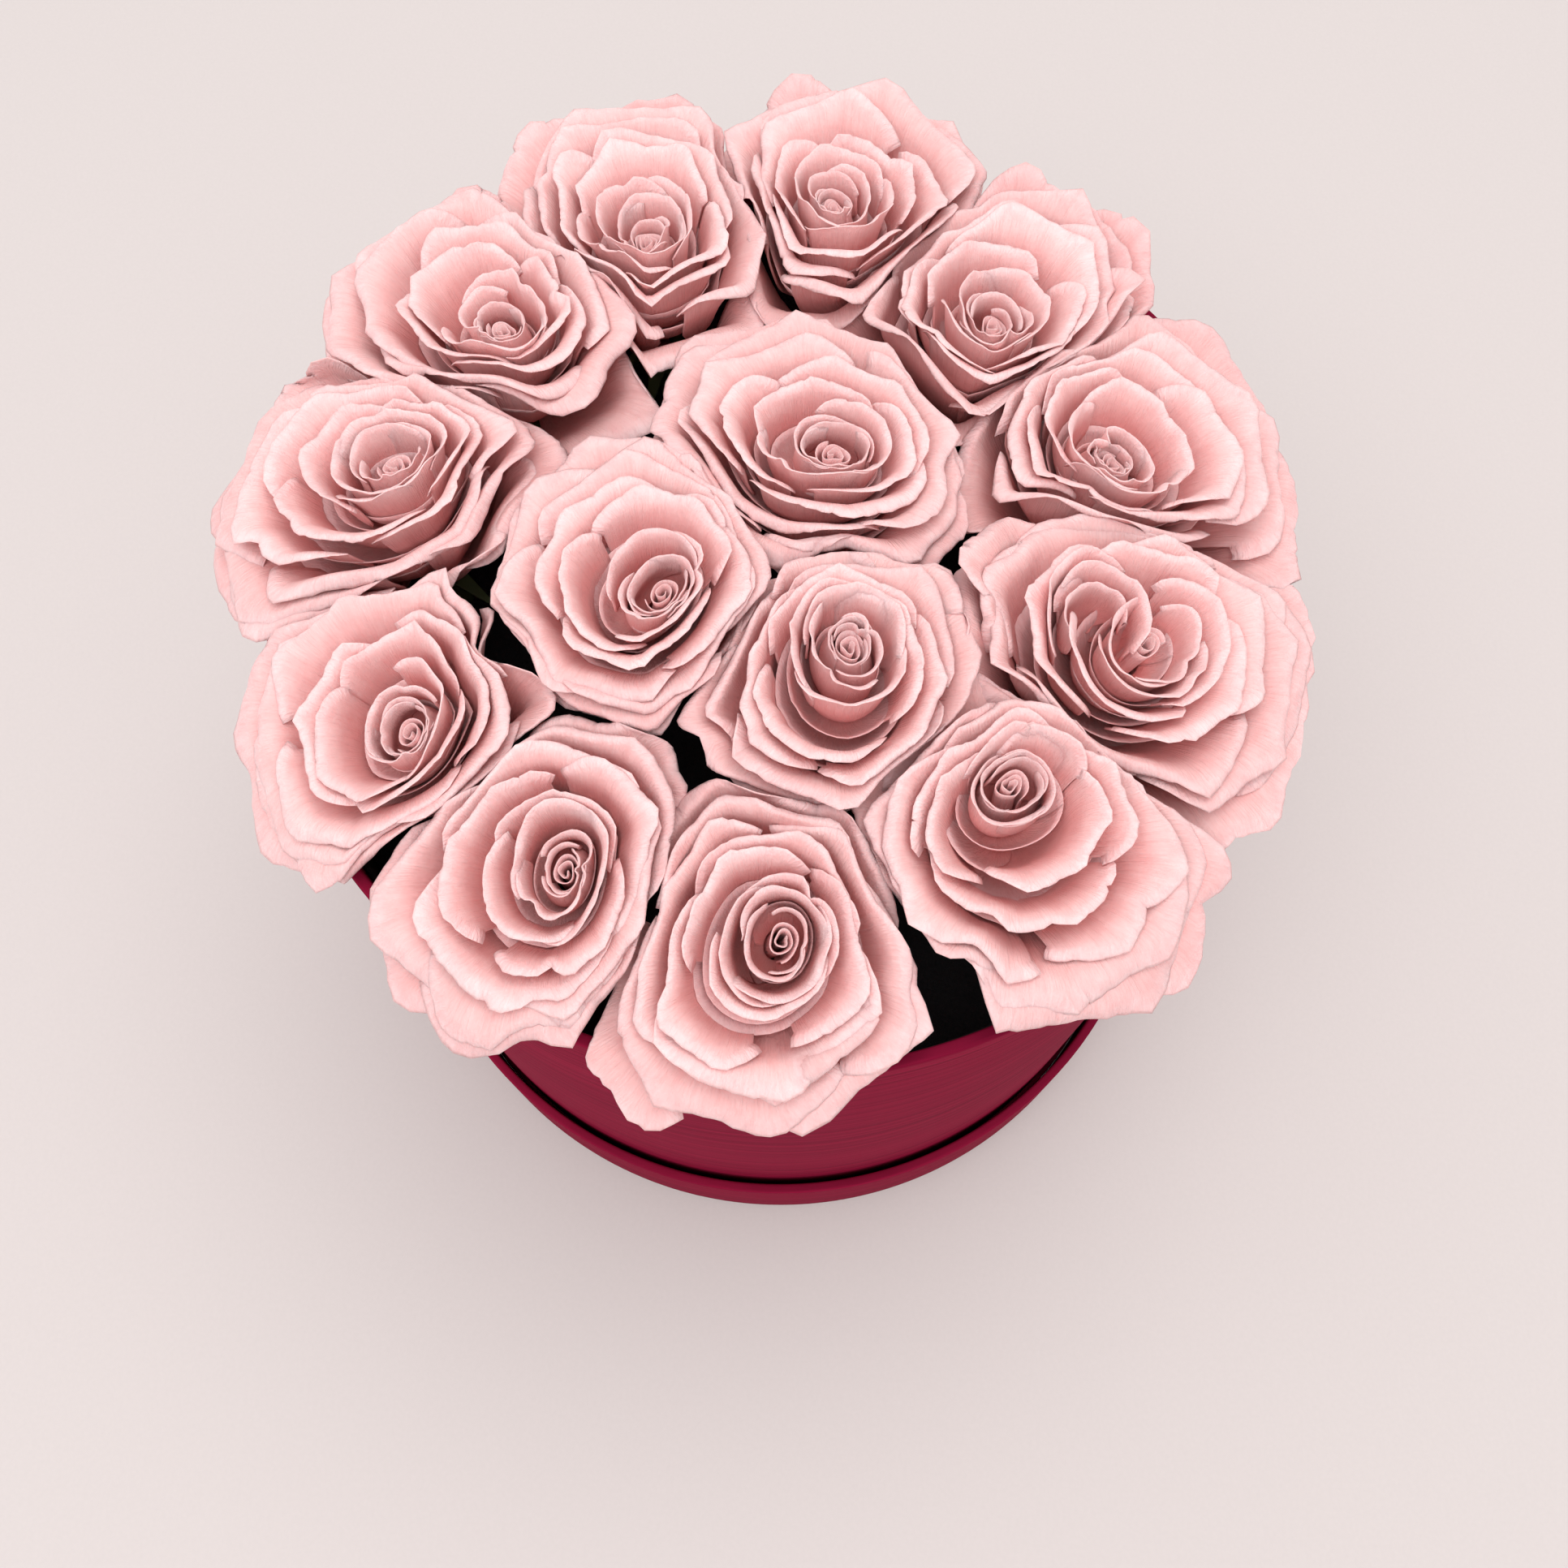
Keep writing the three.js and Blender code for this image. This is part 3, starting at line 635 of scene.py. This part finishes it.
def coil_surface(rose, head):
    """The coiled petals at the very heart of a head."""
    s = np.linspace(0, 1, COIL_STEPS)[:, None]
    v = np.linspace(0, 1, COIL_ROWS)[None, :]
    radius = lerp(COIL_RADIUS, COIL_INNER_RADIUS, s**COIL_WINDING) * lerp(COIL_FOOT, 1, v)
    angle = math.radians(rose["turn"]) + 2 * math.pi * COIL_TURNS * s + 0 * v
    pitch, sway = COIL_SWAY
    radius = radius + sway * np.sin(pitch * angle + draw(head, *COIL_SWAY_DRAW)) * v
    pitch, wave = COIL_TOP_WAVE
    top = HEAD_HEIGHT - COIL_BELOW_HEAD + COIL_RISE * s
    top = top + wave * np.sin(pitch * angle + 3 * draw(head, *COIL_TOP_DRAW))
    height = top - COIL_HEIGHT * (1 - v)
    lip = COIL_LIP * smoothstep(v, COIL_LIP_FROM, 1)
    return bend_clear(place_in_head(rose, radius + lip, angle, height, HEART_LAYER), rose)


def lining_surface(rose, layer):
    """The lower part of a whole cup of petals, which closes a head below the spaces in its heart."""
    angle = np.linspace(0, 2 * math.pi, LINING_SIDES + 1)[:, None]
    rise = np.linspace(0, 1, LINING_ROWS + 1)[None, :]
    radius, height = cup_profile(layer, rose["reach"], LINING_TOP * rise)
    radius = radius + LINING_FLARE * layer * rise**3
    return bend_clear(place_in_head(rose, radius + 0 * angle, angle, height + 0 * angle, layer), rose)


def sheet_geometry(surface):
    """Closed thin sheet around a grid of points: vertices, quads and a coordinate pair per vertex."""
    columns, rows = surface.shape[:2]
    fade = np.minimum(1, (rows - 1 - np.arange(rows)) / THINNING_ROWS)[None, :]
    thickness = lerp(MARGIN_THICKNESS, PETAL_THICKNESS, fade) + np.zeros((columns, 1))
    offset = surface_normals(surface) * (thickness / 2)[..., None]
    vertices = np.concatenate([(surface - offset).reshape(-1, 3), (surface + offset).reshape(-1, 3)])
    index = np.arange(columns * rows).reshape(columns, rows)
    a, b = index[:-1, :-1], index[1:, :-1]
    c, d = index[1:, 1:], index[:-1, 1:]
    inner = np.stack([a, d, c, b], axis=-1).reshape(-1, 4)
    outer = np.stack([a, b, c, d], axis=-1).reshape(-1, 4) + columns * rows
    loop = np.concatenate([index[:, 0], index[-1, 1:], index[-2::-1, -1], index[0, -2:0:-1]])
    after = np.roll(loop, -1)
    edge = np.stack([loop, after, after + columns * rows, loop + columns * rows], axis=-1)
    across, along = np.meshgrid(np.linspace(0, 1, columns), np.linspace(0, 1, rows), indexing="ij")
    pair = np.stack([across, along], axis=-1).reshape(-1, 2)
    return vertices, np.concatenate([inner, outer, edge]), np.concatenate([pair, pair])


def corner_guards(rose):
    """Guard petals towards the corners where a head meets two neighbours."""
    directions = np.radians(np.arange(0, 360, CORNER_SEARCH_STEP))
    room = room_for(rose, directions, np.full(directions.shape, CORNER_HEIGHT))
    peak = (room > np.roll(room, 1)) & (room >= np.roll(room, -1)) & (room < CORNER_RANGE * rose["reach"])
    found = []
    for direction, far in zip(np.degrees(directions[peak]), room[peak]):
        x = rose["x"] + far * math.cos(math.radians(direction))
        y = rose["y"] + far * math.sin(math.radians(direction))
        if any(math.hypot(x - gap[0], y - gap[1]) < 2 * gap[2] + GAP_KEEP_OFF for gap in GAPS):
            continue
        apart = [abs((direction - guard[0] + 180) % 360 - 180) for guard in rose["guards"] + found]
        if min(apart) > CORNER_SPACING:
            found.append((direction, *CORNER_GUARD))
    return found


def guard_surfaces(rose, head):
    """The guard petals of a head, and how light each is."""
    surfaces = []
    tones = []
    tone, change = GUARD_TONE
    for n, (direction, out, width, lift) in enumerate(rose["guards"] + corner_guards(rose)):
        petal = GUARD_NUMBER + n
        middle, spread = math.radians(direction), math.radians(width) / 2
        surfaces.append(petal_surface(rose, head, petal, out, GUARD_STEP, middle, spread, GUARD_GRID, lift))
        tones.append(tone + change * draw(head, petal, TONE_DRAW))
    return surfaces, tones


def head_surfaces(rose, head):
    """Every petal surface of a head, from its guard petals to the coil, and how light each is."""
    surfaces, tones = guard_surfaces(rose, head)
    layers = petal_layers(head)
    turned = math.radians(rose["turn"] + FIRST_TURN)
    for petal in range(PETAL_COUNT):
        layer = layers[petal]
        step = min(max(layer - layers[petal + 1], STEP_LEAST), STEP_MOST)
        middle = turned + math.radians(GOLDEN_ANGLE * petal + TURN_CHANGE * draw(head, petal, TURN_DRAW))
        opening = float(smoothstep(layer, WIDTH_FROM_LAYER, WIDTH_FULL_LAYER))
        width = lerp(WIDTH_HEART, WIDTH_OUTER, opening) * (1 + WIDTH_CHANGE * draw(head, petal, WIDTH_DRAW))
        spread = math.radians(width) / 2
        grid = OUTER_GRID if petal < OUTER_PETALS else INNER_GRID
        surfaces.append(petal_surface(rose, head, petal, layer, step, middle, spread, grid))
        tone = lerp(HEART_TONE, OUTER_TONE, float(smoothstep(layer, TONE_FROM_LAYER, 1)))
        tones.append(tone + TONE_CHANGE * draw(head, petal, TONE_DRAW))
    for layer in LINING_LAYERS:
        surfaces.append(lining_surface(rose, layer))
        tones.append(LINING_TONE)
    surfaces.append(coil_surface(rose, head))
    tones.append(COIL_TONE)
    return surfaces, tones


def new_mesh_object(name, vertices, faces):
    mesh = bpy.data.meshes.new(name)
    mesh.from_pydata((np.asarray(vertices) * MM).tolist(), [], [list(map(int, f)) for f in faces])
    mesh.validate()
    mesh.polygons.foreach_set("use_smooth", [True] * len(mesh.polygons))
    piece = bpy.data.objects.new(name, mesh)
    bpy.context.scene.collection.objects.link(piece)
    return piece


def stand_for(piece, node):
    """Puts a piece in the place of a node of the frame."""
    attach(piece, "root")
    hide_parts(node)


def make_bloom(rose, head, material):
    """The petals of one head as one piece, with a coordinate pair for the veins and a tone."""
    vertices, faces, pairs, tones = [], [], [], []
    count = 0
    for surface, tone in zip(*head_surfaces(rose, head)):
        v, f, p = sheet_geometry(surface)
        vertices.append(v)
        faces.append(f + count)
        pairs.append(p)
        tones.append(np.full(len(v), tone))
        count += len(v)
    piece = new_mesh_object(rose["name"] + "_petals", np.concatenate(vertices), np.concatenate(faces))
    mesh = piece.data
    vertex_of_corner = np.empty(len(mesh.loops), int)
    mesh.loops.foreach_get("vertex_index", vertex_of_corner)
    coordinates = mesh.uv_layers.new(name="petal")
    coordinates.data.foreach_set("uv", np.concatenate(pairs)[vertex_of_corner].ravel())
    attribute = mesh.attributes.new("tone", "FLOAT", "POINT")
    attribute.data.foreach_set("value", np.concatenate(tones))
    mesh.materials.append(material)
    stand_for(piece, rose["name"] + "_bloom")


def lathe(name, profile, material, swell=None):
    """A closed solid turned about Z from a closed profile of (radius, height) points."""
    profile = np.array(profile, float)
    angles = np.linspace(0, 2 * math.pi, RING_SEGMENTS, endpoint=False)[:, None]
    radius = np.repeat(profile[None, :, 0], RING_SEGMENTS, axis=0)
    if swell is not None:
        radius = radius + swell(angles, profile[None, :, 0])
    height = np.repeat(profile[None, :, 1], RING_SEGMENTS, axis=0)
    rings = np.stack([radius * np.cos(angles), radius * np.sin(angles), height], axis=-1)
    index = np.arange(RING_SEGMENTS * len(profile)).reshape(RING_SEGMENTS, len(profile))
    onward = np.roll(index, -1, axis=0)
    quads = np.stack([index, onward, np.roll(onward, -1, axis=1), np.roll(index, -1, axis=1)], axis=-1)
    piece = new_mesh_object(name, rings.reshape(-1, 3), quads.reshape(-1, 4))
    shape = bmesh.new()
    shape.from_mesh(piece.data)
    bmesh.ops.remove_doubles(shape, verts=shape.verts, dist=WELD_DISTANCE * MM)
    bmesh.ops.recalc_face_normals(shape, faces=shape.faces)
    shape.to_mesh(piece.data)
    shape.free()
    piece.data.materials.append(material)
    return piece


def rounded(corners, radius):
    """A closed profile with each corner rounded by the given radius."""
    points = []
    corners = np.array(corners, float)
    for n in range(len(corners)):
        here, before, after = corners[n], corners[n - 1], corners[(n + 1) % len(corners)]
        back, on = before - here, after - here
        cut = min(radius, EDGE_SHARE * np.linalg.norm(back), EDGE_SHARE * np.linalg.norm(on))
        start = here + back / np.linalg.norm(back) * cut
        end = here + on / np.linalg.norm(on) * cut
        for s in np.linspace(0, 1, EDGE_STEPS + 1):
            points.append((1 - s) ** 2 * start + 2 * s * (1 - s) * here + s**2 * end)
    return points


def node_tree(name):
    material = bpy.data.materials.new(name)
    material.use_nodes = True
    nodes, links = material.node_tree.nodes, material.node_tree.links
    return material, nodes, links, nodes["Principled BSDF"]


def linear(r, g, b):
    """Linear colour from an sRGB triple of 0 to 255."""
    def one(c):
        c = c / 255
        return c / 12.92 if c <= 0.04045 else ((c + 0.055) / 1.055) ** 2.4
    return (one(r), one(g), one(b), 1)


def noise(nodes, links, vector, scale, detail, roughness=0.5):
    """A noise texture with its own stretch along the given vector."""
    stretch = nodes.new("ShaderNodeVectorMath")
    stretch.operation = "MULTIPLY"
    stretch.inputs[1].default_value = scale
    links.new(vector, stretch.inputs[0])
    texture = nodes.new("ShaderNodeTexNoise")
    texture.inputs["Scale"].default_value = 1
    texture.inputs["Detail"].default_value = detail
    texture.inputs["Roughness"].default_value = roughness
    links.new(stretch.outputs[0], texture.inputs["Vector"])
    return texture.outputs["Fac"]


def ramp(nodes, links, factor, stops):
    """A colour ramp through (position, colour) stops."""
    node = nodes.new("ShaderNodeValToRGB")
    elements = node.color_ramp.elements
    while len(elements) < len(stops):
        elements.new(0.5)
    for element, (position, color) in zip(elements, stops):
        element.position = position
        element.color = color
    links.new(factor, node.inputs[0])
    return node.outputs["Color"]


def tinted(nodes, links, color, tint, share):
    """A colour multiplied by a tint, to the given share."""
    node = nodes.new("ShaderNodeMix")
    node.data_type = "RGBA"
    node.blend_type = "MULTIPLY"
    node.inputs["Factor"].default_value = share
    links.new(color, node.inputs["A"])
    links.new(tint, node.inputs["B"])
    return node.outputs["Result"]


def bump(nodes, links, height, strength, distance, normal=None):
    """Fine relief of a surface, over any coarser relief that the given normal has."""
    node = nodes.new("ShaderNodeBump")
    node.inputs["Strength"].default_value = strength
    node.inputs["Distance"].default_value = distance
    links.new(height, node.inputs["Height"])
    if normal is not None:
        links.new(normal, node.inputs["Normal"])
    return node.outputs["Normal"]


def set_inputs(shader, settings):
    for name, value in settings.items():
        shader.inputs[name].default_value = value


def petal_material():
    """Soft petals: deeper in colour towards the claw, partly their own colour and partly painted shade for
    the crevices that the claws lie in, with fine veins, soft patches and a grain.
    """
    material, nodes, links, shader = node_tree("rose_petal")
    pair = nodes.new("ShaderNodeUVMap")
    pair.uv_map = "petal"
    tone = nodes.new("ShaderNodeAttribute")
    tone.attribute_name = "tone"
    place = nodes.new("ShaderNodeTexCoord").outputs["Object"]
    split = nodes.new("ShaderNodeSeparateXYZ")
    links.new(pair.outputs["UV"], split.inputs[0])
    # Painted shade, in part: the colour deepens and reddens towards the claw, low in the crevices between
    # petals, to stand in for the shade there; the rest is the petals' own deeper colour at the claw
    depth = ramp(nodes, links, split.outputs["Y"], [
        (0.08, linear(243, 156, 152)),
        (0.6, linear(248, 200, 198)),
        (0.9, linear(248, 209, 209)),
        (1.0, linear(247, 205, 204)),
    ])
    warm = ramp(nodes, links, tone.outputs["Fac"], [(0, (0.84, 0.78, 0.78, 1)), (1, (1, 1, 1, 1))])
    veins = noise(nodes, links, pair.outputs["UV"], scale=(90, 3, 1), detail=3, roughness=0.65)
    patches = noise(nodes, links, place, scale=(260, 260, 260), detail=3)
    grain = noise(nodes, links, place, scale=(1500, 1500, 1500), detail=1)
    vein_tint = ramp(nodes, links, veins, [(0.3, (0.93, 0.82, 0.82, 1)), (0.66, (1, 1, 1, 1))])
    patch_tint = ramp(nodes, links, patches, [(0.35, (0.95, 0.86, 0.86, 1)), (0.66, (1, 1, 1, 1))])
    color = tinted(nodes, links, depth, warm, share=1)
    color = tinted(nodes, links, color, vein_tint, share=0.7)
    color = tinted(nodes, links, color, patch_tint, share=0.8)
    links.new(color, shader.inputs["Base Color"])
    normal = bump(nodes, links, veins, strength=0.6, distance=0.0008)
    normal = bump(nodes, links, grain, strength=0.25, distance=0.0003, normal=normal)
    links.new(normal, shader.inputs["Normal"])
    set_inputs(shader, {
        "Roughness": 0.62,
        "Subsurface Weight": 0.25,
        "Subsurface Radius": (1.0, 0.45, 0.4),
        "Subsurface Scale": 0.002,
        "Sheen Weight": 0.04,
        "Specular IOR Level": 0.3,
    })
    return material


def wrap_material():
    """Crimson wrapping paper with fine streaks round the box."""
    material, nodes, links, shader = node_tree("crimson_wrap")
    place = nodes.new("ShaderNodeTexCoord").outputs["Object"]
    streaks = noise(nodes, links, place, scale=(6, 6, 900), detail=6, roughness=0.7)
    color = ramp(nodes, links, streaks, [(0.3, linear(100, 11, 38)), (0.75, linear(152, 26, 60))])
    links.new(color, shader.inputs["Base Color"])
    normal = bump(nodes, links, streaks, strength=0.3, distance=0.0003)
    links.new(normal, shader.inputs["Normal"])
    set_inputs(shader, {"Roughness": 0.7, "IOR": 1.25, "Specular IOR Level": 0.08})
    return material


def grained_material(name, color, roughness, scale, distance, shades=(0.7, 1.2)):
    """A plain surface with a fine grain between two shades of one colour."""
    material, nodes, links, shader = node_tree(name)
    place = nodes.new("ShaderNodeTexCoord").outputs["Object"]
    grain = noise(nodes, links, place, scale=(scale, scale, scale), detail=5)
    dark, light = (tuple(min(1, shade * c) for c in color[:3]) + (1,) for shade in shades)
    links.new(ramp(nodes, links, grain, [(0, dark), (1, light)]), shader.inputs["Base Color"])
    links.new(bump(nodes, links, grain, strength=1, distance=distance), shader.inputs["Normal"])
    set_inputs(shader, {"Roughness": roughness})
    return material


wrap = wrap_material()
petals = petal_material()
black = grained_material("black_card", (0.008, 0.007, 0.008, 1), roughness=0.9, scale=400, distance=0.0002)
foam = grained_material("dry_foam", (0.01, 0.009, 0.01, 1), roughness=1, scale=1500, distance=0.0006)
green = grained_material("rose_green", linear(92, 107, 63), roughness=0.7, scale=300, distance=0.0004)


def paper_seam(angles, radius):
    """The lapped edge of the wrap, which stands out a little at the back of a ring."""
    aside = np.abs(angles - SEAM_ANGLE)
    outside = radius > radius.max() - EDGE_ROUND
    fading = smoothstep(aside, SEAM_WIDTH / 2 - SEAM_FADE, SEAM_WIDTH / 2)
    return np.where(outside, SEAM_STEP * (1 - fading), 0)


def node_ring(node, thickness):
    """Inner and outer radius, bottom and top of a round node of the frame, in millimetres."""
    low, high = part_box(node)
    outer = high[0] / MM
    return outer - thickness, outer, low[2] / MM, high[2] / MM


def ring_profile(node, thickness, radius):
    inner, outer, bottom, top = node_ring(node, thickness)
    return rounded([(inner, bottom), (outer, bottom), (outer, top), (inner, top)], radius)


def make_wrapped_ring(node):
    profile = ring_profile(node, BOARD, EDGE_ROUND)
    stand_for(lathe(node + "_wrap", profile, wrap, paper_seam), node)


def make_disc(node):
    _, outer, bottom, top = node_ring(node, BOARD)
    profile = rounded([(0, bottom), (outer, bottom), (outer, top), (0, top)], DISC_ROUND)
    profile = [(0, bottom)] + [point for point in profile if point[0] > DISC_ROUND] + [(0, top)]
    stand_for(lathe(node + "_card", profile, wrap), node)


def make_liner():
    profile = ring_profile("box_liner", LINER_BOARD, LINER_ROUND)
    stand_for(lathe("box_liner_card", profile, black), "box_liner")


make_wrapped_ring("lid_rim")
make_wrapped_ring("box_wall")
make_disc("lid_panel")
make_disc("box_base")
make_liner()
for head, rose in enumerate(ROSES):
    make_bloom(rose, head, petals)
for node, material in [("foam_block", foam)] + [(rose["name"] + "_stem", green) for rose in ROSES]:
    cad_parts[node].data.materials.clear()
    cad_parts[node].data.materials.append(material)


def make_floor():
    half, level = FLOOR_HALF, -FLOOR_BELOW
    corners = [(-half, -half, level), (half, -half, level), (half, half, level), (-half, half, level)]
    floor = new_mesh_object("floor", corners, [(0, 1, 2, 3)])
    shades = (0.96, 1.02)
    pale = grained_material("floor", linear(200, 192, 190), 0.9, scale=900, distance=0.00001, shades=shades)
    floor.data.materials.append(pale)


def make_light(name, place, size, energy, color):
    data = bpy.data.lights.new(name, "AREA")
    data.shape = "DISK"
    data.size = size
    data.energy = energy
    data.color = color
    light = bpy.data.objects.new(name, data)
    light.location = place
    light.rotation_euler = (Vector(LIGHT_TARGET) - Vector(place)).to_track_quat("-Z", "Y").to_euler()
    bpy.context.scene.collection.objects.link(light)


def make_world():
    world = bpy.data.worlds.new("studio")
    bpy.context.scene.world = world
    world.use_nodes = True
    set_inputs(world.node_tree.nodes["Background"], {"Color": WORLD_COLOR, "Strength": WORLD_STRENGTH})


def make_camera():
    data = bpy.data.cameras.new("camera")
    data.sensor_width = SENSOR_MM
    data.lens = FOCAL_PIXELS / IMAGE_SIDE * SENSOR_MM
    camera = bpy.data.objects.new("camera", data)
    camera.location = CAMERA_PLACE
    camera.rotation_euler = (math.pi / 2 - CAMERA_DOWN, 0, 0)
    bpy.context.scene.collection.objects.link(camera)
    bpy.context.scene.camera = camera


make_floor()
for name, (place, size, energy, color) in LIGHTS.items():
    make_light(name, place, size, energy, color)
make_world()
make_camera()
bpy.context.scene.view_settings.view_transform = "Standard"
